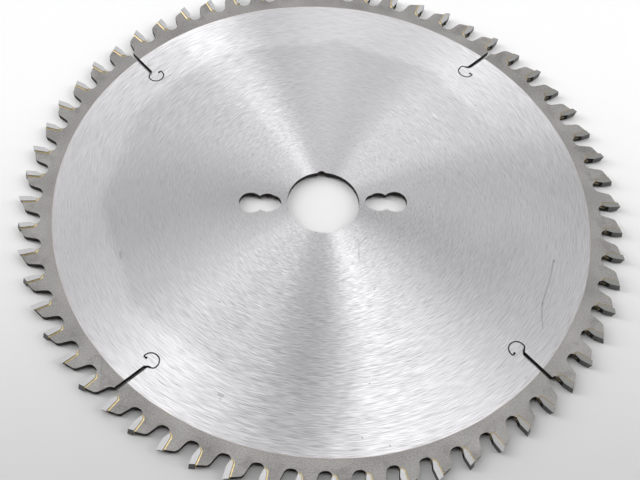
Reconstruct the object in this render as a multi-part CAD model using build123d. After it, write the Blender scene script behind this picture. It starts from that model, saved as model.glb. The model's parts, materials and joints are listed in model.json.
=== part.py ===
from build123d import *
import os
from math import atan2, ceil, degrees, radians, sin, sqrt, tan

# Circular saw blade: a steel plate with brazed carbide tips.
# The origin is the centre of the bore at half the plate's thickness, and +Z is the bore's axis
# towards the outer face. The drive pin holes lie along X, and the bore's notch is at +Y.
# Seen from +Z the blade turns clockwise.

# Whole blade
outer_diameter = 250.0
tooth_count = 60
first_tooth_angle = -1.6
plate_thickness = 2.2
kerf_width = 3.2

# Bore, its notch and the drive pin holes, each pair on its own pitch circle
bore_diameter = 30.0
notch_depth = 0.9
notch_radius = 1.9
large_pin_diameter = 10.0
large_pin_circle = 60.0
middle_pin_diameter = 9.0
middle_pin_circle = 46.35
small_pin_diameter = 7.0
small_pin_circle = 42.0

# Tooth, seen along the bore's axis. Angles are in degrees from the radius to the cutting corner.
negative_hook = 3.0
face_length = 4.7
relief_angle = 16.0
land_angle = 22.0
land_step = 0.6
land_corner_chamfer = 0.7
back_angle = 14.5
gullet_mouth = 5.98
gullet_depth = 9.4
gullet_front_radius = 1.8
gullet_back_radius = 2.6
gullet_facet_angle = 28.0

# Carbide tip
tip_length = 7.6
tip_thickness = 2.2
tip_corner_chamfer = 1.0
top_clearance = 21.0
top_bevel = 14.0
side_clearance = 1.2

# Braze: the seam behind and under the tip, and the fillet that climbs its sides
seam_gap = 0.2
fillet_foot = 0.85
fillet_rise = 0.3
fillet_edge = 0.08

# Expansion slots, each with a laser-cut curl at its inner end
slot_count = 4
first_slot_angle = 46.4
slot_lead = 0.91
slot_width = 1.0
slot_lean = 5.8
slot_length = 13.4
curl_kerf = 0.3
curl_entry_kerf = 0.6
curl_entry_across = 0.65
curl_entry_depth = 1.0
curl_entry_radius = 1.5
curl_shoulder_across = 2.95
curl_shoulder_depth = 1.85
curl_shoulder_radius = 1.6
curl_bowl_radius = 3.2
curl_bowl_flat = 0.15
curl_hook_depth = 2.8
curl_hook_straight = 0.6
curl_hook_radius = 0.3
curl_end_across = 1.15
curl_end_drop = 0.25
curl_end_diameter = 0.6

pitch = 360.0 / tooth_count
tip_radius = outer_diameter / 2
root_radius = tip_radius - gullet_depth
land_length = 2 * tip_radius * sin(radians(pitch / 2)) - gullet_mouth
cutter_reach = 2 * tip_thickness + fillet_foot
front_reach = tip_thickness / 2
seam_group_count = 4
curl_far_across = curl_shoulder_across - curl_bowl_flat - 2 * curl_bowl_radius
curl_depth = curl_hook_depth + curl_hook_straight + curl_bowl_radius


def turned(angle):
    """Unit vector that points at the centre, turned by an angle about +Z."""
    return Vector(-1, 0).rotate(Axis.Z, angle)


def down_to_root(start, direction):
    """Point where a line from start meets the flat of the gullet's floor."""
    return start + direction * ((root_radius - start.X) / direction.X)


# Corners of one tooth and the gullet before it, with the cutting corner on +X
corner = Vector(tip_radius, 0)
face_in = turned(negative_hook)
face_end = corner + face_in * face_length
land_start = corner + face_in * land_step
land_end = land_start + turned(land_angle - 90) * land_length
floor_front = down_to_root(face_end, turned(-relief_angle))
earlier_land_start = land_start.rotate(Axis.Z, -pitch)
earlier_land_end = land_end.rotate(Axis.Z, -pitch)
back_in = turned(-back_angle - pitch)
floor_back = down_to_root(earlier_land_end, back_in)
back_top = earlier_land_end + back_in * land_corner_chamfer
along_land = (earlier_land_start - earlier_land_end).normalized()
land_cut = earlier_land_end + along_land * land_corner_chamfer


def gullet_floor():
    """Points from a leading face down round the gullet and up the back of the tooth before it."""
    bends = [gullet_front_radius, gullet_back_radius]
    line = FilletPolyline(face_end, floor_front, floor_back, back_top, radius=bends)
    points = []
    for edge in line.edges():
        facets = 1
        if edge.geom_type == GeomType.CIRCLE:
            facets = ceil(degrees(edge.length / edge.radius) / gullet_facet_angle)
        points += [edge @ (step / facets) for step in range(facets)]
    return points + [back_top]


def gullet_space():
    """Outline of the open gullet in front of one tooth, up past the tips."""
    above_face = corner - face_in * cutter_reach
    above_back = earlier_land_end + Vector(cutter_reach + land_length, 0)
    return make_face(Polyline(*gullet_floor(), above_back, above_face, close=True))


def above_land():
    """Everything further out than one tooth's land."""
    frame = Plane(origin=land_start, x_dir=turned(land_angle - 90), z_dir=(0, 0, 1))
    reach = 2 * land_length
    return frame * Pos(0, -reach) * Rectangle(2 * reach, 2 * reach)


def tip_blank(grown=0.0):
    """The tip's rectangle, with its chamfered inner corner, grown at its back and inner end."""
    frame = Plane(origin=corner, x_dir=-face_in, z_dir=(0, 0, 1))
    back = tip_thickness + grown
    inner = -tip_length - grown
    cut = tip_corner_chamfer + grown * (2 - sqrt(2))
    outline = Polyline(
        (cutter_reach, -front_reach), (cutter_reach, back), (inner + cut, back),
        (inner, back - cut), (inner, -front_reach), close=True)
    return frame * make_face(outline)


def make_tip(high_side):
    """One tip, bevelled so that its cutting corner is on the high side, +1 or -1 along Z."""
    body = extrude(tip_blank() - gullet_space(), kerf_width / 2, both=True)
    thinning = (tip_length + tip_radius - root_radius) * tan(radians(side_clearance))
    half = kerf_width / 2
    inside = tip_radius - tip_length - (tip_radius - root_radius)
    slab = Polyline(
        (tip_radius, half), (inside, half - thinning), (inside, thinning - half),
        (tip_radius, -half), close=True)
    body &= extrude(Plane.XZ * make_face(slab), 2 * cutter_reach, both=True)
    along = turned(top_clearance - 90)
    outward = along.cross(Vector(0, 0, 1))
    normal = outward.rotate(Axis((0, 0, 0), along), top_bevel)
    top = Plane(origin=corner + Vector(0, 0, half), x_dir=along, z_dir=normal)
    size = 4 * tip_length
    body -= top * Box(size, size, size, align=(Align.CENTER, Align.CENTER, Align.MIN))
    return body if high_side > 0 else mirror(body, Plane.XY)


def make_seam():
    """One braze seam with its fillets on both faces of the plate."""
    half = plate_thickness / 2
    slope = degrees(atan2(fillet_foot - fillet_edge, fillet_rise))
    seam = extrude(tip_blank(seam_gap), half, both=True)
    fillet_top = extrude(Pos(0, 0, half) * tip_blank(fillet_foot), fillet_rise, taper=slope)
    seam += fillet_top
    seam += mirror(fillet_top, Plane.XY)
    for removed in (tip_blank(), gullet_space(), above_land()):
        seam -= extrude(removed, half + 2 * fillet_rise, both=True)
    return seam


def slot_and_curl():
    """Expansion slot from a gullet's floor, with its curl, about a slot mouth on +X."""
    mouth = Vector(root_radius, 0)
    inward = turned(-slot_lean)
    end = mouth + inward * slot_length
    start = mouth - inward * gullet_back_radius
    steps = [
        (0, 0),
        (curl_entry_across, curl_entry_depth),
        (curl_shoulder_across, curl_shoulder_depth),
        (curl_shoulder_across, curl_depth),
        (curl_far_across, curl_depth),
        (curl_far_across, curl_hook_depth),
        (curl_far_across + curl_end_across, curl_hook_depth + curl_end_drop),
    ]
    route = [end + Vector(-depth, across) for across, depth in steps]
    bends = [
        curl_entry_radius, curl_shoulder_radius, curl_bowl_radius, curl_bowl_radius,
        curl_hook_radius]
    curl = trace(FilletPolyline(*route, radius=bends), line_width=curl_kerf)
    bend_end = route[1] + (route[2] - route[1]).normalized() * curl_entry_kerf
    entry = trace(
        FilletPolyline(*route[:2], bend_end, radius=curl_entry_radius), line_width=curl_entry_kerf)
    slot = trace(Line(start, end), line_width=slot_width)
    dot = Pos(*route[-1]) * RegularPolygon(curl_end_diameter / 2, 8)
    return slot + entry + curl + dot


def plate_outline():
    """The toothed outline, one gullet and one leading face for each tooth."""
    tooth_line = [land_start, *gullet_floor(), land_cut]
    points = []
    for tooth in range(tooth_count):
        points += [point.rotate(Axis.Z, -tooth * pitch) for point in tooth_line]
    return make_face(Polyline(*points, close=True))


def make_plate():
    """The steel plate, with its pockets, slots, bore and pin holes."""
    tooth_places = [Rot(0, 0, first_tooth_angle + tooth * pitch) for tooth in range(tooth_count)]
    face = Rot(0, 0, first_tooth_angle) * plate_outline()
    pocket = tip_blank(seam_gap)
    face -= [place * pocket for place in tooth_places]
    opening = slot_and_curl()
    first_slot_tooth = round((first_slot_angle - first_tooth_angle) / pitch)
    for slot in range(slot_count):
        tooth = first_slot_tooth + round(slot * tooth_count / slot_count)
        face -= tooth_places[tooth % tooth_count] * Rot(0, 0, -slot_lead) * opening
    bore_radius = bore_diameter / 2
    face -= Circle(bore_radius)
    pairs = (
        (large_pin_diameter, large_pin_circle),
        (middle_pin_diameter, middle_pin_circle),
        (small_pin_diameter, small_pin_circle))
    for diameter, circle in pairs:
        for side in (-1, 1):
            face -= Pos(side * circle / 2, 0) * Circle(diameter / 2)
    face -= Pos(0, bore_radius + notch_depth - notch_radius) * Circle(notch_radius)
    return extrude(face, plate_thickness / 2, both=True)


os.makedirs("parts", exist_ok=True)

export_step(make_plate(), "parts/blade_plate.step")

tips = [make_tip(1), make_tip(-1)]
for pair in range(tooth_count // 2):
    places = [Rot(0, 0, first_tooth_angle + (2 * pair + hand) * pitch) for hand in (0, 1)]
    group = Compound([place * tip for place, tip in zip(places, tips)])
    export_step(group, f"parts/tip_pair_{pair + 1:02d}.step")

seam = make_seam()
for number in range(seam_group_count):
    first = round(number * tooth_count / seam_group_count)
    last = round((number + 1) * tooth_count / seam_group_count)
    places = [Rot(0, 0, first_tooth_angle + tooth * pitch) for tooth in range(first, last)]
    group = Compound([place * seam for place in places])
    export_step(group, f"parts/braze_seams_{number + 1}.step")
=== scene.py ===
import json
from math import acos, atan2, ceil, cos, hypot, pi, radians, sin, tan

import bmesh
import bpy
from mathutils import Matrix, Vector


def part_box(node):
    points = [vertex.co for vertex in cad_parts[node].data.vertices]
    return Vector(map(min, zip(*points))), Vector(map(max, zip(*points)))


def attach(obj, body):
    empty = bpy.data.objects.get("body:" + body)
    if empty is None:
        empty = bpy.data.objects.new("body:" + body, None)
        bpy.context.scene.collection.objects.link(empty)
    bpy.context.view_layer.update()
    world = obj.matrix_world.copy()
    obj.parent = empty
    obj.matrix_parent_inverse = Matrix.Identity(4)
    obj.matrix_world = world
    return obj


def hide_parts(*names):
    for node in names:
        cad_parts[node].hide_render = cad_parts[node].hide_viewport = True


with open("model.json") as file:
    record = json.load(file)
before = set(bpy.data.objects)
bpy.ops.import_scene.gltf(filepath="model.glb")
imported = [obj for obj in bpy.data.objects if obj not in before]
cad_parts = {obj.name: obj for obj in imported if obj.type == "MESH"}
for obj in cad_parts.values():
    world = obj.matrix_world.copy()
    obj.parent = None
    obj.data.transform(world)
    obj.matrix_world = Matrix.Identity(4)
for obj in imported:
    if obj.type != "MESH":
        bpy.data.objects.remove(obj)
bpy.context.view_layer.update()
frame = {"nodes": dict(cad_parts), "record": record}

# Circular saw blade. Lengths are in millimetres and become metres where a mesh is made.
# Z = 0 is the middle of the plate, and the bore's axis is Z.

MM = 0.001


def mount_size(name, size):
    """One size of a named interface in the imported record."""
    found = [m for m in frame["record"]["mounts"] if m["name"] == name]
    return found[0]["dims"][size]


# Whole blade. All but the place of the first tooth is read from the frame.
tip_nodes = sorted(n for n in frame["nodes"] if n.startswith("tip_pair"))
braze_nodes = sorted(n for n in frame["nodes"] if n.startswith("braze_seams"))
tooth_count = 2 * len(tip_nodes)
pitch = 360 / tooth_count
plate_thickness = 2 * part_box("blade_plate")[1].z / MM
kerf_width = 2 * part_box(tip_nodes[0])[1].z / MM
tip_radius = max(hypot(v.co.x, v.co.y) for v in frame["nodes"][tip_nodes[0]].data.vertices) / MM
bore_radius = mount_size("bore", "r_mm")
first_tooth_angle = -1.6

# Notch of the bore
notch_depth = 0.9
notch_radius = 1.9

# Tooth, seen along the bore's axis
negative_hook = 3.0
face_length = 4.7
relief_angle = 16.0
land_angle = 22.0
land_step = 0.6
land_corner_chamfer = 0.7
back_angle = 14.5
gullet_mouth = 5.98
gullet_depth = 9.4
gullet_front_radius = 1.8
gullet_back_radius = 2.6

# Carbide tip
tip_length = 7.6
tip_thickness = 2.2
tip_corner_radius = 1.25
top_clearance = 21.0
top_bevel = 14.0
side_clearance = 1.2
tip_edge = 0.06
tip_blank_over = 3.0
tip_sharp_angle = 25.0

# Braze: the seam, its fillet as distances from the tip with shares of the rise, and the solder that
# ran out in front of the tip
seam_gap = 0.2
seam_over = 2.0
seam_corner_growth = 0.6
fillet_rise = 0.32
fillet_profile = [(0.0, 0.35), (0.13, 0.70), (0.27, 0.78), (0.45, 0.42)]
fillet_toe = 0.64
fillet_toe_height = 0.01
fillet_sunk = 0.02
run_middle = 2.7
run_length = 2.9
run_width = 1.9
run_height = 0.12
run_bend_back = 2.4

# Expansion slots and their curls. A slot narrows to a share of its width at its end, and the
# curl's wider entry reaches for a multiple of the way to its first bend.
slot_count = 4
first_slot_angle = 46.4
slot_lead = 0.91
slot_width = 1.65
slot_lean = 5.8
slot_length = 13.4
slot_end_step = 0.12
slot_end_share = 0.94
curl_kerf = 0.55
curl_entry_kerf = 0.95
curl_entry_reach = 1.6
curl_entry_across = 0.65
curl_entry_depth = 1.0
curl_entry_radius = 1.5
curl_shoulder_across = 2.95
curl_shoulder_depth = 1.85
curl_shoulder_radius = 1.6
curl_bowl_radius = 3.2
curl_bowl_flat = 0.15
curl_hook_depth = 2.8
curl_hook_straight = 0.6
curl_hook_radius = 0.3
curl_end_across = 1.15
curl_end_drop = 0.25
curl_end_diameter = 1.0
curl_end_steps = 5
curl_end_turn = 28.0

# Edges and upright faces
plate_edge = 0.035
plate_sharp_angle = 40.0
upright_limit = 0.35

# Blasted band along the teeth, with its scorched inner line and the heat marks of the brazing
rim_band_radius = 111.0
rim_band_blend = 0.25
rim_band_waver = 0.6
band_speckle = 0.8
band_drift = 0.5
scorch_width = 0.5
scorch_strength = 0.5
heat_mark_radii = (112.5, 115.5)
heat_mark_strength = 0.25

# Tone of the ground steel, and how deep its marks and clouds are
steel_level = 0.71
grain_depth = 1.7
# painted glints: the extra depth of the marks on the side towards the viewer
painted_glint_depth = 0.6
cloud_depth = 0.16

# Outer ground zone, brighter than the middle partly from its grinding and partly as painted
# reflection, and the share of that lift kept on the side away from its painted light
zone_middle = (-3.5, 2.5)
zone_radius = 84.5
zone_sides = 11
zone_softness = 3.0
zone_waver = 10.0
zone_lift = 0.18
zone_lift_left = 0.2

# Grinding marks in sets that cross. Each has the middle of its arcs, how fast it changes outwards
# and round, and its share of the grain.
grind_sets = [
    ((9, 3), 5200.0, 18.0, 0.45),
    ((-6, 8), 3900.0, 15.0, 0.40),
    ((-2, -9), 2200.0, 9.0, 0.15)]

# Directions from the bore in which the outer zone's painted light is strongest, the marks are
# deeper with painted glints, and the tips and their solder carry painted shade
painted_light_direction = (-0.766, 0.643)
painted_glint_direction = (0.34, -0.94)
painted_shade_direction = (0.995, -0.09)

root_radius = tip_radius - gullet_depth
land_length = 2 * tip_radius * sin(radians(pitch / 2)) - gullet_mouth
curl_far_across = curl_shoulder_across - curl_bowl_flat - 2 * curl_bowl_radius
curl_depth = curl_hook_depth + curl_hook_straight + curl_bowl_radius

# Largest turn between two points of a rounded corner
arc_step = radians(9)


def turned(angle):
    """Unit vector that points at the centre, turned by an angle about Z."""
    return Vector((-1, 0)) @ Matrix.Rotation(-radians(angle), 2)


def spun(point, angle):
    """A point turned about the bore's axis."""
    return Vector((
        point[0] * cos(radians(angle)) - point[1] * sin(radians(angle)),
        point[0] * sin(radians(angle)) + point[1] * cos(radians(angle))))


def crossing(start, along, other, direction):
    """Point where two lines meet, each given by a point and a direction."""
    scale = along.x * direction.y - along.y * direction.x
    gap = other - start
    return start + along * ((gap.x * direction.y - gap.y * direction.x) / scale)


def rounded_line(corners, radii):
    """A line through the corners, with each inner corner rounded by its radius."""
    points = [corners[0]]
    for before, corner, after, radius in zip(corners, corners[1:], corners[2:], radii):
        inward = (before - corner).normalized()
        onward = (after - corner).normalized()
        half = acos(max(-1, min(1, inward.dot(onward)))) / 2
        middle = corner + (inward + onward).normalized() * (radius / sin(half))
        first = corner + inward * (radius / tan(half)) - middle
        turn = pi - 2 * half
        sense = 1 if inward.x * onward.y - inward.y * onward.x < 0 else -1
        steps = max(1, ceil(turn / arc_step))
        for step in range(steps + 1):
            angle = sense * turn * step / steps
            points.append(middle + Vector((
                first.x * cos(angle) - first.y * sin(angle),
                first.x * sin(angle) + first.y * cos(angle))))
    return points + [corners[-1]]


# Corners and directions of one tooth, with its cutting corner on +X
corner = Vector((tip_radius, 0))
face_in = turned(negative_hook)
tip_back = Vector((face_in.y, -face_in.x))
face_end = corner + face_in * face_length
relief_in = turned(-relief_angle)
gullet_side = Vector((-relief_in.y, relief_in.x))
land_start = corner + face_in * land_step
along_land = turned(land_angle - 90)
land_end = land_start + along_land * land_length
back_in = turned(-back_angle)


def in_tooth(inwards, backwards):
    """A point beside the tip, given along its face and square to it."""
    return corner + face_in * inwards + tip_back * backwards


def floor_corner(start, direction):
    """Point where a line from start meets the flat of the gullet's floor."""
    return start + direction * ((root_radius - start.x) / direction.x)


def seat_line(grown):
    """The tip's back and inner end from the land to the gullet, moved out by a distance."""
    top = crossing(in_tooth(0, tip_thickness + grown), face_in, land_start, along_land)
    inner = in_tooth(tip_length + grown, tip_thickness + grown)
    front = crossing(inner, tip_back, face_end, relief_in)
    return rounded_line([top, inner, front], [tip_corner_radius + grown * seam_corner_growth])


def tooth_line():
    """The plate's edge from one tip's seat round the gullet to the seat of the tooth before."""
    floor_front = floor_corner(face_end, relief_in)
    earlier_end = spun(land_end, -pitch)
    earlier_back = spun(back_in, -pitch)
    floor_back = floor_corner(earlier_end, earlier_back)
    back_top = earlier_end + earlier_back * land_corner_chamfer
    seat = seat_line(seam_gap)
    earlier_seat = spun(seat[0], -pitch)
    land_cut = earlier_end + (earlier_seat - earlier_end).normalized() * land_corner_chamfer
    gullet = rounded_line(
        [seat[-1], floor_front, floor_back, back_top], [gullet_front_radius, gullet_back_radius])
    return seat + gullet[1:] + [land_cut, earlier_seat]


def ribbon(path, widths):
    """Both sides of a cut that follows a path, out along one side and back along the other."""
    sides = []
    for step, point in enumerate(path):
        before = path[max(step - 1, 0)]
        after = path[min(step + 1, len(path) - 1)]
        along = (after - before).normalized()
        across = Vector((-along.y, along.x)) * widths[step] / 2
        sides.append((point + across, point - across))
    return [left for left, _ in sides], [right for _, right in reversed(sides)]


def slot_outline():
    """The expansion slot and its curl, from one side of its mouth round to the other."""
    inward = turned(-slot_lean)
    mouth = Vector((root_radius, 0))
    start = mouth - inward * gullet_back_radius
    end = mouth + inward * slot_length
    steps = [
        (0, 0),
        (curl_entry_across, curl_entry_depth),
        (curl_shoulder_across, curl_shoulder_depth),
        (curl_shoulder_across, curl_depth),
        (curl_far_across, curl_depth),
        (curl_far_across, curl_hook_depth),
        (curl_far_across + curl_end_across, curl_hook_depth + curl_end_drop)]
    route = [end + Vector((-depth, across)) for across, depth in steps]
    bends = [
        curl_entry_radius, curl_shoulder_radius, curl_bowl_radius, curl_bowl_radius,
        curl_hook_radius]
    curl = rounded_line(route, bends)
    entry = (route[1] - route[0]).length
    widths = []
    for point in curl[1:]:
        gone = (point - route[0]).length / entry
        past_entry = gone > curl_entry_reach or point.x < route[2].x
        widths.append(curl_kerf if past_entry else curl_entry_kerf)
    path = [start, end + inward * slot_end_step] + curl[1:]
    left, right = ribbon(path, [slot_width, slot_width * slot_end_share] + widths)
    tail = path[-1]
    heading = atan2(*reversed(tail - path[-2]))
    dot = []
    for step in range(-curl_end_steps, curl_end_steps + 1):
        angle = heading - step * radians(curl_end_turn)
        dot.append(tail + Vector((cos(angle), sin(angle))) * curl_end_diameter / 2)
    outline = left[:-1] + dot + right[1:]
    return [spun(point, -slot_lead) for point in outline]


def meets(line, start, direction):
    """Where a ray first crosses a line of points: the number of its segment and the point."""
    for number, (one, two) in enumerate(zip(line, line[1:])):
        along = two - one
        if abs(along.cross(direction)) < 1e-9:
            continue
        point = crossing(one, along, start, direction)
        share = (point - one).dot(along) / along.length_squared
        if 0 <= share < 1 and (point - start).dot(direction) > 0:
            return number, point
    raise ValueError("the slot misses the gullet")


def slotted_tooth_line():
    """The plate's edge of one tooth whose gullet opens into an expansion slot."""
    line = tooth_line()
    outline = slot_outline()
    inward = (outline[1] - outline[0]).normalized()
    sides = [meets(line, outline[0], inward), meets(line, outline[-1], inward)]
    if sides[0][0] > sides[1][0]:
        outline.reverse()
        sides.reverse()
    (first, way_in), (last, way_out) = sides
    return line[:first + 1] + [way_in] + outline[1:-1] + [way_out] + line[last + 1:]


def chained_circles(circles, angle):
    """Outline of circles that overlap in a row, (place, radius), the row turned by an angle."""
    upper = []
    for number, (place, radius) in enumerate(circles):
        bounds = [pi, 0]
        for side, other in ((0, number - 1), (1, number + 1)):
            if 0 <= other < len(circles):
                gap = circles[other][0] - place
                chord = (gap * gap + radius ** 2 - circles[other][1] ** 2) / (2 * gap)
                bounds[side] = acos(chord / radius)
        steps = max(2, ceil((bounds[0] - bounds[1]) / (arc_step / 2)))
        for step in range(steps + 1):
            turn = bounds[0] + (bounds[1] - bounds[0]) * step / steps
            upper.append(Vector((place + radius * cos(turn), radius * sin(turn))))
    lower = [Vector((point.x, -point.y)) for point in reversed(upper)]
    merged = []
    for point in upper + lower:
        if not merged or (point - merged[-1]).length > 1e-6:
            merged.append(point)
    if (merged[0] - merged[-1]).length < 1e-6:
        merged.pop()
    return [spun(point, angle) for point in merged]


def opening_lines():
    """Closed outlines of the bore with its notch and of both rows of drive pin holes."""
    pins = []
    for name in ("small_pin_holes", "middle_pin_holes", "drive_pin_holes"):
        pins.append((mount_size(name, "spacing_x_mm") / 2, mount_size(name, "hole_r_mm")))
    notch = (bore_radius + notch_depth - notch_radius, notch_radius)
    return [
        chained_circles([(0, bore_radius), notch], 90),
        chained_circles(pins, 0),
        chained_circles(pins, 180)]


def placed(name, data):
    """An object in the scene that holds the data."""
    piece = bpy.data.objects.new(name, data)
    bpy.context.scene.collection.objects.link(piece)
    return piece


def line_object(name, lines, closed):
    """An object of bare edges along one or more lines, for a node tree to read."""
    verts = []
    edges = []
    for line in lines:
        first = len(verts)
        verts += [(point.x * MM, point.y * MM, 0) for point in line]
        edges += [(first + n, first + n + 1) for n in range(len(line) - 1)]
        if closed:
            edges.append((len(verts) - 1, first))
    mesh = bpy.data.meshes.new(name)
    mesh.from_pydata(verts, edges, [])
    return placed(name, mesh)


class Value:
    """An output of a node. Arithmetic on it adds Math nodes to its tree."""

    def __init__(self, tree, socket):
        self.tree = tree
        self.socket = socket

    def math(self, operation, *others):
        """One Math node on this value."""
        return self.tree.add("ShaderNodeMath", {"operation": operation}, [self, *others])

    def __add__(self, other):
        return self.math("ADD", other)

    def __sub__(self, other):
        return self.math("SUBTRACT", other)

    def __mul__(self, other):
        return self.math("MULTIPLY", other)

    def __truediv__(self, other):
        return self.math("DIVIDE", other)

    def __radd__(self, other):
        return self + other

    def __rmul__(self, other):
        return self * other

    def __rsub__(self, other):
        return self * -1 + other

    def step(self, low, high):
        """0 below one value and 1 above another, with a smooth rise between them."""
        settings = {"interpolation_type": "SMOOTHSTEP"}
        sockets = {"Value": self, "From Min": low, "From Max": high}
        return self.tree.add("ShaderNodeMapRange", settings, sockets)


class Tree:
    """A node tree, to which add() gives one node at a time."""

    def __init__(self, nodes, links):
        self.nodes = nodes
        self.links = links

    def put(self, socket, value):
        """Links a value to a socket, or sets the socket to a constant."""
        if isinstance(value, Value):
            self.links.new(value.socket, socket)
        else:
            socket.default_value = value

    def add(self, kind, settings=None, sockets=None, output=0):
        """One node of a kind: its settings, then its sockets' values or links."""
        node = self.nodes.new(kind)
        for name, setting in (settings or {}).items():
            setattr(node, name, setting)
        pairs = sockets.items() if isinstance(sockets, dict) else enumerate(sockets or [])
        for name, value in pairs:
            self.put(node.inputs[name], value)
        return Value(self, node.outputs[output]) if len(node.outputs) else node

    def split(self, value):
        """The X, Y and Z of a vector."""
        node = self.nodes.new("ShaderNodeSeparateXYZ")
        self.put(node.inputs[0], value)
        return [Value(self, socket) for socket in node.outputs]

    def vector(self, x, y, z):
        """A vector from its X, Y and Z."""
        return self.add("ShaderNodeCombineXYZ", None, [x, y, z])

    def vector_math(self, operation, *values):
        """One Vector Math node, whose result is a number or a vector."""
        output = "Value" if operation in ("LENGTH", "DISTANCE", "DOT_PRODUCT") else "Vector"
        return self.add("ShaderNodeVectorMath", {"operation": operation}, list(values), output)

    def noise(self, place, scale, detail=2.0, roughness=0.5):
        """Noise round 0.5."""
        sockets = {"Vector": place, "Scale": scale, "Detail": detail, "Roughness": roughness}
        return self.add("ShaderNodeTexNoise", None, sockets)

    def mix(self, factor, one, two):
        """A colour between two colours, whose sockets share names with those for numbers."""
        node = self.nodes.new("ShaderNodeMix")
        node.data_type = "RGBA"
        self.put(node.inputs[0], factor)
        self.put(node.inputs[6], one)
        self.put(node.inputs[7], two)
        return Value(self, node.outputs[2])


def new_material(name):
    """An empty material and its node tree."""
    material = bpy.data.materials.new(name)
    material.use_nodes = True
    material.node_tree.nodes.clear()
    return material, Tree(material.node_tree.nodes, material.node_tree.links)


def grey(level, warmth=0.0):
    """A grey, a little warmer or cooler."""
    return (level * (1 + warmth), level, level * (1 - warmth), 1)


def surface(tree, shader):
    """Makes a shader the material's surface."""
    tree.add("ShaderNodeOutputMaterial", None, {"Surface": shader})


def principled(tree, sockets):
    """A Principled shader."""
    return tree.add("ShaderNodeBsdfPrincipled", None, sockets)


def object_place(tree):
    """The place on the blade, in metres."""
    return tree.add("ShaderNodeTexCoord", None, None, "Object")


def flattened(tree, place):
    """A place with its height left out."""
    x, y, _ = tree.split(place)
    return tree.vector(x, y, 0)


def towards(tree, flat, direction):
    """1 on the side of the blade that lies in a direction, and -1 on the other side."""
    outwards = tree.vector_math("NORMALIZE", flat)
    return tree.vector_math("DOT_PRODUCT", outwards, Vector(direction).to_3d())


def bumped(tree, strength, depth, height):
    """A normal that follows small unevenness, its depth in millimetres."""
    sockets = {"Strength": strength, "Distance": depth * MM, "Height": height}
    return tree.add("ShaderNodeBump", None, sockets)


# Camera at the photograph's viewing angle
camera_elevation = 59.3576
camera_roll = 4.9617
camera_turn = 6.3665
camera_distance = 418.04
camera_aside = -9.2355
camera_up = -27.1584
camera_lens = 56.6627
camera_shift = (0.0383, 0.0398)
sensor_width = 36
photo_size = (640, 480)


def camera_axes():
    """The camera's right, up and back directions, and its place in millimetres."""
    tilt = radians(camera_elevation)
    back = Vector((0, -cos(tilt), sin(tilt)))
    right = Vector((1, 0, 0))
    up = Vector((0, sin(tilt), cos(tilt)))
    place = back * camera_distance + right * camera_aside + up * camera_up
    roll = radians(camera_roll)
    level = Matrix.Rotation(-radians(camera_turn), 3, "Z")
    rolled_right = right * cos(roll) + up * sin(roll)
    rolled_up = up * cos(roll) - right * sin(roll)
    place = level @ place + Vector((0, 0, plate_thickness / 2))
    return level @ rolled_right, level @ rolled_up, level @ back, place


def seen_at(pixel):
    """The place on the plate's top face that the camera shows at a pixel of the photograph."""
    right, up, back, place = camera_axes()
    width, height = photo_size
    aside = (pixel[0] + 0.5 - width / 2) / width + camera_shift[0]
    above = (height / 2 - pixel[1] - 0.5) / width + camera_shift[1]
    ray = (right * aside + up * above) * (sensor_width / camera_lens) - back
    return (place + ray * ((plate_thickness / 2 - place.z) / ray.z)) * MM


# Wear on the top face. Its places are pixels of the photograph, and each line has its half width in
# millimetres and how much it darkens. A mark fades between two shares of its half width.
line_fade = (0.4, 1.3)
speck_fade = (0.3, 1.5)
speck_radius = 0.3
speck_depth = 0.62
speck_pixels = [
    (252.4, 153.5), (179, 214), (475, 105), (429.2, 206.8), (385, 134), (416.9, 287.5), (374, 289),
    (526, 377), (369, 383), (361.7, 437.3), (389.6, 445.2), (219, 301), (542.2, 303)]
wear_lines = {
    "scratch": ([(553, 261), (549, 280), (541.7, 303), (541.2, 315), (542.4, 327.6)], 0.34, 0.30),
    "scratch_end": ([(553.3, 260), (553.2, 261.2)], 0.45, 0.50),
    "short_line": ([(365, 238), (358.5, 244), (358.2, 250), (358.9, 259.7)], 0.38, 0.17),
    "short_line_end": ([(365.6, 236.8), (365, 237.8)], 0.50, 0.22),
    "left_smudge": ([(119.8, 252), (120.2, 257.6)], 0.70, 0.22),
    "lower_smudge": ([(218.6, 394), (222, 395.6)], 0.65, 0.30),
    "lower_smudge_tail": ([(220, 397), (219.6, 400)], 0.50, 0.14),
    "dull_spot": ([(342, 417.5), (357, 419)], 1.1, 0.09),
    "wipe_mark": ([(331, 434), (343, 402), (351, 372), (361, 342)], 1.6, 0.05)}
band_lines = {
    "hair": (
        [(87.3, 360.5), (95.7, 355.2), (101.5, 356.6), (101.5, 365.2), (99.9, 373.1)], 0.28, 0.22),
    "spot": ([(602.6, 218.3), (603.6, 222)], 1.1, 0.16)}


def wear(tree, place, lines):
    """1 on the clean face, and less along the lines of wear."""
    clean = 1
    for pixels, half_width, depth in lines.values():
        points = [seen_at(pixel) for pixel in pixels]
        for one, two in zip(points, points[1:]):
            along = two - one
            from_one = tree.vector_math("SUBTRACT", place, one)
            share = tree.vector_math("DOT_PRODUCT", from_one, along / along.length_squared)
            share = share.math("MAXIMUM", 0).math("MINIMUM", 1)
            reach = tree.add(
                "ShaderNodeVectorMath", {"operation": "SCALE"}, {"Vector": along, "Scale": share})
            off = tree.vector_math("DISTANCE", from_one, reach)
            clear = off.step(line_fade[0] * half_width * MM, line_fade[1] * half_width * MM)
            clean = (clear * depth + (1 - depth)).math("MINIMUM", clean)
    return clean


def specks(tree, place):
    """1 on the clean face, and less on each small speck."""
    clean = 1
    for pixel in speck_pixels:
        off = tree.vector_math("DISTANCE", place, seen_at(pixel))
        clear = off.step(speck_fade[0] * speck_radius * MM, speck_fade[1] * speck_radius * MM)
        clean = (clear * speck_depth + (1 - speck_depth)).math("MINIMUM", clean)
    return clean


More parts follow.
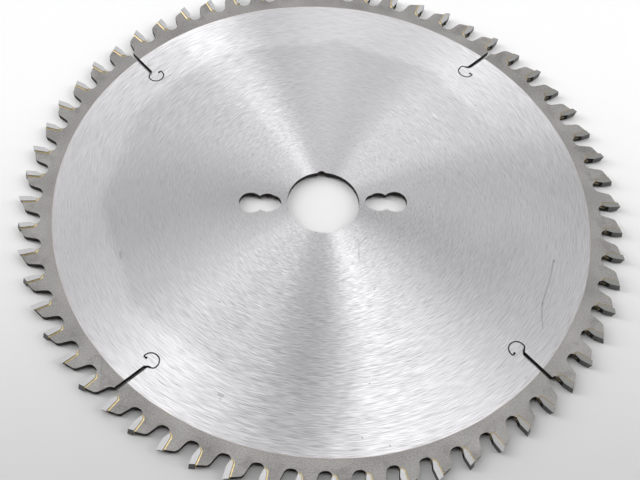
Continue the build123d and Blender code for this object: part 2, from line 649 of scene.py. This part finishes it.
def grind_marks(tree, flat):
    """Noise drawn out along arcs about points near the bore, in sets that cross."""
    grain = 0
    for middle, fineness, arc, share in grind_sets:
        from_middle = tree.vector_math("SUBTRACT", flat, Vector(middle).to_3d() * MM)
        way_x, way_y, _ = tree.split(tree.vector_math("NORMALIZE", from_middle))
        reach = tree.vector_math("LENGTH", from_middle)
        marks = tree.noise(tree.vector(way_x * arc, way_y * arc, reach * fineness), 1.0, 1.0)
        grain = marks * share + grain
    return grain


def outer_zone(tree, flat, cloud):
    """1 in the outer ground zone and 0 in the middle, with a soft many-sided border."""
    from_zone = tree.vector_math("SUBTRACT", flat, Vector(zone_middle).to_3d() * MM)
    zone_x, zone_y, _ = tree.split(from_zone)
    side = 2 * pi / zone_sides
    turn = zone_y.math("ARCTAN2", zone_x) + (pi + side)
    off_middle = turn.math("MODULO", side) - side / 2
    bent = tree.vector_math("LENGTH", from_zone) * off_middle.math("COSINE")
    wavering = bent + (cloud - 0.5) * (zone_waver * MM)
    return wavering.step((zone_radius - zone_softness) * MM, (zone_radius + zone_softness) * MM)


def ground_face(tree, place, flat):
    """Steel ground round and round, worn in a few places, brighter in its outer zone partly from
    its grinding and partly as painted reflection that is stronger on the upper left, and with
    painted glints that deepen its marks towards the viewer.
    """
    grain = grind_marks(tree, flat)
    cloud = tree.noise(place, 22.0, 3.0)
    # painted light: the outer zone's lift is full on the upper left and falls to a share on the
    # other side
    painted_light_side = towards(tree, flat, painted_light_direction).step(-0.45, -0.1)
    share = painted_light_side * (1 - zone_lift_left) + zone_lift_left
    lift = outer_zone(tree, flat, cloud) * share * zone_lift
    # painted glints: the marks are drawn deeper towards the viewer, where highlights glint
    depth = towards(tree, flat, painted_glint_direction).step(-0.2, 0.8) * painted_glint_depth + grain_depth
    level = 1 + (grain - 0.5) * depth + (cloud - 0.5) * cloud_depth
    level = level * (1 + lift) * steel_level
    worn = wear(tree, place, wear_lines) * specks(tree, place)
    return principled(tree, {
        "Base Color": tree.mix(level * worn, grey(0.0), (1.0, 0.99, 1.012, 1)),
        "Metallic": 1.0,
        "Roughness": 0.40 + (grain - 0.5) * 0.6,
        "Anisotropic": 1.0,
        "Anisotropic Rotation": 0.0,
        "Normal": bumped(tree, 0.06, 0.02, grain)})


def blasted_band(tree, place, radius, drift):
    """The matt band, browned along its inner line and darker where the brazing heated it."""
    speckle = tree.noise(place, 1900.0, 2.0, 0.6)
    tone = (speckle - 0.5) * band_speckle + (drift - 0.5) * band_drift
    shade = tree.add(
        "ShaderNodeMapRange", None,
        {"Value": tone, "From Min": -0.3, "From Max": 0.3, "To Min": 0.0, "To Max": 1.0})
    colour = tree.mix(shade, grey(0.17, 0.035), grey(0.48, 0.03))
    scorch = 1 - radius.step(rim_band_radius * MM, (rim_band_radius + scorch_width) * MM)
    colour = tree.mix(scorch * scorch_strength, colour, (0.30, 0.21, 0.17, 1))
    near_teeth = radius.step(heat_mark_radii[0] * MM, heat_mark_radii[1] * MM)
    heat = near_teeth * tree.noise(place, 170.0, 2.0).step(0.52, 0.66)
    colour = tree.mix(heat * heat_mark_strength, colour, grey(0.10, 0.08))
    colour = tree.mix(1 - wear(tree, place, band_lines), colour, grey(0.0))
    return principled(tree, {
        "Base Color": colour,
        "Metallic": 0.55,
        "Roughness": 0.62,
        "Normal": bumped(tree, 0.25, 0.04, speckle)})


def plate_steel():
    """The plate's faces: ground steel with a matt blasted band along the teeth."""
    material, tree = new_material("ground_steel")
    place = object_place(tree)
    flat = flattened(tree, place)
    radius = tree.vector_math("LENGTH", flat)
    drift = tree.noise(place, 60.0, 2.0)
    edge = radius + (drift - 0.5) * (rim_band_waver * MM)
    blend = edge.step(
        (rim_band_radius - rim_band_blend) * MM, (rim_band_radius + rim_band_blend) * MM)
    ground = ground_face(tree, place, flat)
    band = blasted_band(tree, place, radius, drift)
    surface(tree, tree.add("ShaderNodeMixShader", None, [blend, ground, band]))
    return material


def cut_wall():
    """The plate's cut walls, dark and dull from the laser and the hardening."""
    material, tree = new_material("dark_cut_wall")
    patches = tree.noise(object_place(tree), 400.0, 3.0)
    surface(tree, principled(tree, {
        "Base Color": tree.mix(patches, grey(0.010, 0.12), grey(0.040, 0.14)),
        "Roughness": 0.6,
        "Specular IOR Level": 0.12,
        "Normal": bumped(tree, 0.3, 0.05, patches)}))
    return material


def painted_shade_side(tree, place):
    """1 on the tips and solder at the right, which carry painted shade, and 0 on those at the left.
    """
    return towards(tree, flattened(tree, place), painted_shade_direction).step(0.2, 0.85)


def ground_carbide():
    """The tips' sides, ground along their length, with painted shade on those at the right."""
    material, tree = new_material("ground_carbide")
    place = object_place(tree)
    grain = tree.noise(place, 1500.0, 2.0)
    # bright is the lit copy of the carbide and dull its copy with painted shade, used on the right
    bright = tree.mix(grain, (0.57, 0.565, 0.575, 1), (0.75, 0.745, 0.755, 1))
    dull = tree.mix(grain, (0.25, 0.25, 0.24, 1), (0.33, 0.33, 0.32, 1))
    surface(tree, principled(tree, {
        "Base Color": tree.mix(painted_shade_side(tree, place), bright, dull),
        "Metallic": 1.0,
        "Roughness": 0.36,
        "Anisotropic": 0.4,
        "Anisotropic Rotation": 0.125,
        "Normal": bumped(tree, 0.1, 0.03, grain)}))
    return material


def face_carbide():
    """The tips' cutting faces and tops, dark and finely ground, blacker below the cutting face."""
    material, tree = new_material("face_carbide")
    place = object_place(tree)
    radius = tree.vector_math("LENGTH", flattened(tree, place))
    inner = tip_radius - face_length
    sintered = 1 - radius.step((inner - 0.1) * MM, (inner + 0.1) * MM)
    grain = tree.noise(place, 1500.0, 2.0)
    ground = tree.mix(grain, grey(0.09, 0.02), grey(0.13, 0.02))
    surface(tree, principled(tree, {
        "Base Color": tree.mix(sintered, ground, grey(0.008)),
        "Metallic": 1 - sintered * 0.9,
        "Roughness": 0.38 + sintered * 0.3,
        "Specular IOR Level": 0.2}))
    return material


def braze():
    """Satin pale gold solder, with painted shade on that at the right."""
    material, tree = new_material("silver_solder")
    place = object_place(tree)
    spots = tree.noise(place, 900.0, 3.0)
    # bright is the lit copy of the solder and dull its copy with painted shade, used on the right
    bright = tree.mix(spots, (0.42, 0.32, 0.15, 1), (0.86, 0.71, 0.40, 1))
    dull = tree.mix(spots, (0.16, 0.12, 0.08, 1), (0.56, 0.46, 0.30, 1))
    surface(tree, principled(tree, {
        "Base Color": tree.mix(painted_shade_side(tree, place), bright, dull),
        "Metallic": 0.7,
        "Roughness": 0.42,
        "Normal": bumped(tree, 0.3, 0.08, spots)}))
    return material


def flowed_braze():
    """Solder that ran out in front of the tip, mottled with black."""
    material, tree = new_material("flowed_solder")
    spots = tree.noise(object_place(tree), 1100.0, 3.0, 0.6).step(0.42, 0.62)
    surface(tree, principled(tree, {
        "Base Color": tree.mix(spots, (0.018, 0.013, 0.008, 1), (0.34, 0.27, 0.15, 1)),
        "Metallic": spots * 0.8,
        "Roughness": 0.42,
        "Specular IOR Level": 0.2}))
    return material


def node_group(name, inputs):
    """A Geometry Nodes group with a mesh in and out and named inputs of given kinds."""
    group = bpy.data.node_groups.new(name, "GeometryNodeTree")
    face = group.interface
    face.new_socket("Mesh", in_out="INPUT", socket_type="NodeSocketGeometry")
    face.new_socket("Mesh", in_out="OUTPUT", socket_type="NodeSocketGeometry")
    for label, kind in inputs:
        face.new_socket(label, in_out="INPUT", socket_type="NodeSocket" + kind)
    tree = Tree(group.nodes, group.links)
    source = group.nodes.new("NodeGroupInput")
    given = {socket.name: Value(tree, socket) for socket in source.outputs if socket.name}
    return group, tree, given


def ring_of(tree, given, plain, other, chosen):
    """Instances of a plain shape round the ring of teeth, or of another where chosen."""
    index = tree.add("GeometryNodeInputIndex")
    points = tree.add("GeometryNodePoints", None, {"Count": given["Teeth"]})
    angle = given["First Angle"] + index * (2 * pi) / given["Teeth"]
    turn = tree.add(
        "FunctionNodeAxisAngleToRotation", None, {"Axis": (0, 0, 1), "Angle": angle})
    kinds = tree.nodes.new("GeometryNodeJoinGeometry")
    for shape in (other, plain):
        whole = tree.add("GeometryNodeGeometryToInstance", None, [shape])
        tree.links.new(whole.socket, kinds.inputs[0])
    return tree.add("GeometryNodeInstanceOnPoints", None, {
        "Points": points,
        "Instance": Value(tree, kinds.outputs[0]),
        "Pick Instance": True,
        "Instance Index": chosen(index),
        "Rotation": turn})


def plate_nodes():
    """Teeth round a ring, filled up to the openings and given the plate's thickness."""
    group, tree, given = node_group("toothed_plate", [
        ("Teeth", "Int"), ("First Angle", "Float"), ("Slots", "Int"), ("First Slot", "Int"),
        ("Slotted Tooth", "Object"), ("Openings", "Object"), ("Thickness", "Float"),
        ("Material", "Material")])
    slotted = tree.add(
        "GeometryNodeObjectInfo", None, {"Object": given["Slotted Tooth"]}, "Geometry")
    openings = tree.add("GeometryNodeObjectInfo", None, {"Object": given["Openings"]}, "Geometry")

    def is_slotted(index):
        apart = given["Teeth"] / given["Slots"]
        rest = (index - given["First Slot"] + given["Teeth"]).math("MODULO", apart)
        return rest.math("LESS_THAN", 0.5)

    ring = ring_of(tree, given, given["Mesh"], slotted, is_slotted)
    whole = tree.add("GeometryNodeRealizeInstances", None, [ring])
    joined = tree.add("GeometryNodeMergeByDistance", None, {"Geometry": whole, "Distance": 1e-6})
    lines = tree.nodes.new("GeometryNodeJoinGeometry")
    for shape in (joined, openings):
        curve = tree.add("GeometryNodeMeshToCurve", None, [shape])
        tree.links.new(curve.socket, lines.inputs[0])
    face = tree.add("GeometryNodeFillCurve", None, [Value(tree, lines.outputs[0])])
    lowered = tree.add("GeometryNodeTransform", None, {
        "Geometry": face, "Translation": tree.vector(0, 0, given["Thickness"] * -0.5)})
    raised = tree.add("GeometryNodeExtrudeMesh", None, {
        "Mesh": lowered, "Offset": (0, 0, 1), "Offset Scale": given["Thickness"],
        "Individual": False})
    solid = tree.nodes.new("GeometryNodeJoinGeometry")
    for shape in (raised, lowered):
        tree.links.new(shape.socket, solid.inputs[0])
    closed = tree.add("GeometryNodeMergeByDistance", None, {
        "Geometry": Value(tree, solid.outputs[0]), "Distance": 1e-7})
    real = tree.add("GeometryNodeRealizeInstances", None, [closed])
    finished = tree.add(
        "GeometryNodeSetMaterial", None, {"Geometry": real, "Material": given["Material"]})
    tree.add("NodeGroupOutput", None, [finished])
    return group


def tooth_nodes():
    """One piece at each tooth, of two kinds in turn."""
    group, tree, given = node_group("pieces_on_teeth", [
        ("Teeth", "Int"), ("First Angle", "Float"), ("Odd Piece", "Object"),
        ("Material", "Material")])
    odd = tree.add("GeometryNodeObjectInfo", None, {"Object": given["Odd Piece"]}, "Geometry")

    def is_odd(index):
        return index.math("MODULO", 2)

    ring = ring_of(tree, given, given["Mesh"], odd, is_odd)
    real = tree.add("GeometryNodeRealizeInstances", None, [ring])
    finished = tree.add(
        "GeometryNodeSetMaterial", None, {"Geometry": real, "Material": given["Material"]})
    tree.add("NodeGroupOutput", None, [finished])
    return group


def baked(name, source, group, values, bevel=None):
    """Runs a node tree on an object and keeps the result as a plain mesh object."""
    modifier = source.modifiers.new("nodes", "NODES")
    modifier.node_group = group
    for item in group.interface.items_tree:
        if item.in_out == "INPUT" and item.name in values:
            modifier[item.identifier] = values[item.name]
    if bevel:
        edges = source.modifiers.new("edges", "BEVEL")
        edges.width = bevel * MM
        edges.segments = 2
        edges.limit_method = "ANGLE"
        edges.angle_limit = radians(plate_sharp_angle)
    evaluated = source.evaluated_get(bpy.context.evaluated_depsgraph_get())
    mesh = bpy.data.meshes.new_from_object(evaluated)
    mesh.name = name
    mesh.materials.clear()
    mesh.materials.append(values["Material"])
    bm = bmesh.new()
    bm.from_mesh(mesh)
    for face in bm.faces:
        face.material_index = 0
    bmesh.ops.recalc_face_normals(bm, faces=bm.faces)
    bm.to_mesh(mesh)
    bm.free()
    return placed(name, mesh)


def mesh_object(name, bm):
    """An object whose mesh is the finished bmesh."""
    mesh = bpy.data.meshes.new(name)
    bm.to_mesh(mesh)
    bm.free()
    return placed(name, mesh)


def prism(outline, low, high):
    """A closed straight-sided solid on an outline."""
    bm = bmesh.new()
    bottom = [bm.verts.new((p.x * MM, p.y * MM, low * MM)) for p in outline]
    top = [bm.verts.new((p.x * MM, p.y * MM, high * MM)) for p in outline]
    bm.faces.new(reversed(bottom))
    bm.faces.new(top)
    for n in range(len(outline)):
        m = (n + 1) % len(outline)
        bm.faces.new((bottom[n], bottom[m], top[m], top[n]))
    bmesh.ops.recalc_face_normals(bm, faces=bm.faces)
    return bm


def cut_off(bm, point, normal):
    """Removes what lies beyond a plane, and closes the cut."""
    geometry = bm.verts[:] + bm.edges[:] + bm.faces[:]
    result = bmesh.ops.bisect_plane(
        bm, geom=geometry, plane_co=Vector(point) * MM, plane_no=Vector(normal),
        clear_outer=True, dist=1e-9)
    edges = [item for item in result["geom_cut"] if isinstance(item, bmesh.types.BMEdge)]
    if edges:
        bmesh.ops.contextual_create(bm, geom=edges)


def tip_piece(high_side):
    """One carbide tip, its cutting corner on the high side, +1 or -1 along Z."""
    half = kerf_width / 2
    outline = [
        in_tooth(-tip_blank_over, 0), face_end,
        crossing(in_tooth(tip_length, 0), tip_back, face_end, relief_in)]
    inner = in_tooth(tip_length, tip_thickness)
    back_top = in_tooth(-tip_blank_over, tip_thickness)
    outline += rounded_line([outline[-1], inner, back_top], [tip_corner_radius])[1:]
    bm = prism(outline, -half, half)
    lean = radians(side_clearance)
    for side in (-1, 1):
        cut_off(bm, (tip_radius, 0, side * half), (-sin(lean), 0, side * cos(lean)))
    along = Vector((*turned(top_clearance - 90), 0))
    outward = along.cross(Vector((0, 0, 1)))
    normal = Matrix.Rotation(radians(top_bevel) * high_side, 3, along) @ outward
    cut_off(bm, (tip_radius, 0, high_side * half), normal)
    limit = radians(tip_sharp_angle)
    sharp = [e for e in bm.edges if len(e.link_faces) == 2 and e.calc_face_angle() > limit]
    bmesh.ops.bevel(
        bm, geom=sharp, offset=tip_edge * MM, offset_type="OFFSET", segments=1,
        affect="EDGES", clamp_overlap=True)
    bmesh.ops.recalc_face_normals(bm, faces=bm.faces)
    return mesh_object("tip_high" if high_side > 0 else "tip_low", bm)


def seam_piece():
    """The braze of one tip: a thin web behind and under it, and a fillet up both its sides."""
    half = plate_thickness / 2
    section = [(out, half + share * fillet_rise) for out, share in fillet_profile]
    section += [(fillet_toe, half + fillet_toe_height), (seam_gap, half - fillet_sunk)]
    section += [(out, -height) for out, height in reversed(section)]
    path = seat_line(0.0)
    path[0] = path[0] - face_in * seam_over
    path[-1] = path[-1] - tip_back * seam_over
    bm = bmesh.new()
    rows = []
    for step, point in enumerate(path):
        before = path[max(step - 1, 0)]
        after = path[min(step + 1, len(path) - 1)]
        along = (after - before).normalized()
        away = Vector((along.y, -along.x))
        rows.append([bm.verts.new((
            (point.x + away.x * out) * MM, (point.y + away.y * out) * MM, height * MM))
            for out, height in section])
    count = len(section)
    for one, two in zip(rows, rows[1:]):
        for n in range(count):
            m = (n + 1) % count
            bm.faces.new((one[n], one[m], two[m], two[n]))
    bm.faces.new(rows[0])
    bm.faces.new(reversed(rows[-1]))
    bmesh.ops.recalc_face_normals(bm, faces=bm.faces)
    cut_off(bm, (*land_start, 0), (along_land.y, -along_land.x, 0))
    cut_off(bm, (*face_end, 0), (*gullet_side, 0))
    bmesh.ops.recalc_face_normals(bm, faces=bm.faces)
    return mesh_object("seam", bm)


def run_piece():
    """Solder that ran out over the wall in front of a tip's inner end."""
    bend_start = (floor_corner(face_end, relief_in) - face_end).length - run_bend_back
    bm = bmesh.new()
    bmesh.ops.create_uvsphere(bm, u_segments=10, v_segments=7, radius=1.0)
    for vert in bm.verts:
        inwards = run_middle + vert.co.x * run_length / 2
        past = max(0.0, inwards - bend_start)
        forwards = vert.co.y * run_height + past * past / (2 * gullet_front_radius)
        spot = face_end + relief_in * inwards + gullet_side * forwards
        vert.co = Vector((spot.x, spot.y, vert.co.z * run_width / 2)) * MM
    bmesh.ops.recalc_face_normals(bm, faces=bm.faces)
    return mesh_object("run", bm)


def line_walls(piece, material):
    """Gives a piece's upright faces a second material."""
    piece.data.materials.append(material)
    for face in piece.data.polygons:
        if abs(face.normal.z) < upright_limit:
            face.material_index = 1


def dress(piece, slot, *nodes):
    """Puts a finished piece in place of its solids."""
    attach(piece, "root")
    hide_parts(*nodes)


def on_teeth(name, piece, odd_piece, material):
    """A piece at every other tooth, with another between, as one mesh round the rim."""
    return baked(name, piece, ring_nodes, {
        "Teeth": tooth_count,
        "First Angle": radians(first_tooth_angle),
        "Odd Piece": odd_piece,
        "Material": material})


# The plate, with its cut walls in their own material
plain_line = line_object("plain_tooth_line", [tooth_line()], False)
slotted_line = line_object("slotted_tooth_line", [slotted_tooth_line()], False)
openings = line_object("opening_lines", opening_lines(), True)
plate = baked("saw_plate", plain_line, plate_nodes(), {
    "Teeth": tooth_count,
    "First Angle": radians(first_tooth_angle),
    "Slots": slot_count,
    "First Slot": round((first_slot_angle - first_tooth_angle) / pitch),
    "Slotted Tooth": slotted_line,
    "Openings": openings,
    "Thickness": plate_thickness * MM,
    "Material": plate_steel()}, plate_edge)
line_walls(plate, cut_wall())

# The tips, of two kinds in turn, and their solder. A twin of the solder's shape stands for the
# second kind, because a node tree can't read the object that it changes.
ring_nodes = tooth_nodes()
tip_high = tip_piece(1)
tip_low = tip_piece(-1)
tips = on_teeth("carbide_tips", tip_high, tip_low, ground_carbide())
line_walls(tips, face_carbide())
seam = seam_piece()
seam_twin = placed("seam_twin", seam.data)
seams = on_teeth("braze_fillets", seam, seam_twin, braze())
run = run_piece()
run_twin = placed("run_twin", run.data)
runs = on_teeth("braze_runs", run, run_twin, flowed_braze())

helpers = (
    plain_line, slotted_line, openings, tip_high, tip_low, seam, seam_twin, run, run_twin)
for helper in helpers:
    bpy.data.objects.remove(helper)

dress(plate, "plate_steel", "blade_plate")
dress(tips, "carbide", *tip_nodes)
dress(seams, "braze", *braze_nodes)
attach(runs, "root")


def add_camera():
    """The camera of the photograph."""
    right, up, back, place = camera_axes()
    data = bpy.data.cameras.new("camera")
    data.sensor_width = sensor_width
    data.lens = camera_lens
    data.shift_x, data.shift_y = camera_shift
    data.clip_start = 0.01
    camera = placed("camera", data)
    axes = Matrix((right, up, back)).transposed().to_4x4()
    camera.matrix_world = Matrix.Translation(place * MM) @ axes
    bpy.context.scene.camera = camera


# Floor: the air under the tips in millimetres, half its width in metres, and the places along Y,
# in metres, between which its painted shade fades out
floor_gap = 0.6
floor_size = 3.0
floor_near = -0.19
floor_far = 0.085


def add_floor():
    """A plain pale floor under the tips, with painted shade that darkens it towards the viewer."""
    bm = bmesh.new()
    bmesh.ops.create_grid(bm, x_segments=1, y_segments=1, size=floor_size)
    bmesh.ops.translate(bm, verts=bm.verts, vec=(0, 0, -(kerf_width / 2 + floor_gap) * MM))
    floor = mesh_object("floor", bm)
    material, tree = new_material("floor_white")
    _, y, _ = tree.split(object_place(tree))
    # painted shade: the floor's colour darkens towards the viewer
    colour = tree.mix(y.step(floor_near, floor_far), grey(0.58), grey(1.0))
    surface(tree, tree.add("ShaderNodeBsdfDiffuse", None, {"Color": colour}))
    floor.data.materials.append(material)


# Soft lights of the studio. Each has the X and Y of the unit vector towards its middle and its
# radiance there. Their reach along X and Y is in the same measure.
studio_lights = {
    "left": (-0.88, 0.25, 8.8),
    "right": (0.88, 0.05, 4.1),
    "near_right": (0.66, -0.20, 4.3),
    "strip_far_left": (-0.66, 0.05, 2.8),
    "strip_left": (-0.44, 0.05, 2.6),
    "strip_middle_left": (-0.22, 0.05, 1.9),
    "strip_middle": (0.00, 0.05, 0.8),
    "strip_right": (0.22, 0.05, 2.8),
    "inner_middle": (0.00, 0.45, 0.9),
    "inner_right": (0.44, 0.45, 1.0),
    "back_left": (-0.44, 0.65, 1.6),
    "back_middle": (0.22, 0.65, 1.0),
    "back_right": (0.66, 0.65, 1.4),
    "far_back_left": (-0.22, 0.85, 1.1),
    "far_back": (0.00, 0.85, 0.6)}
light_reach = (0.13, 0.12)

# The pale ground of the world: its two levels, and the heights between which each fades
horizon_level = 0.1
horizon_fade = (0.1, 0.3)
backdrop_level = 0.8
backdrop_fade = (0.0, 0.05)


def add_light():
    """A world of soft lights over a pale backdrop, the same for every ray."""
    world = bpy.data.worlds.new("studio")
    bpy.context.scene.world = world
    world.use_nodes = True
    world.node_tree.nodes.clear()
    tree = Tree(world.node_tree.nodes, world.node_tree.links)
    x, y, z = tree.split(tree.add("ShaderNodeTexCoord", None, None, "Generated"))
    light = (1 - z.step(*horizon_fade)) * horizon_level
    light = light + (1 - z.step(*backdrop_fade)) * backdrop_level
    for middle_x, middle_y, radiance in studio_lights.values():
        across = (x - middle_x) / light_reach[0]
        along = (y - middle_y) / light_reach[1]
        light = light + ((across * across + along * along) * -0.5).math("EXPONENT") * radiance
    sky = tree.add("ShaderNodeBackground", None, {"Color": grey(1.0), "Strength": light})
    tree.add("ShaderNodeOutputWorld", None, {"Surface": sky})


add_camera()
add_floor()
add_light()
bpy.context.scene.view_settings.view_transform = "Standard"
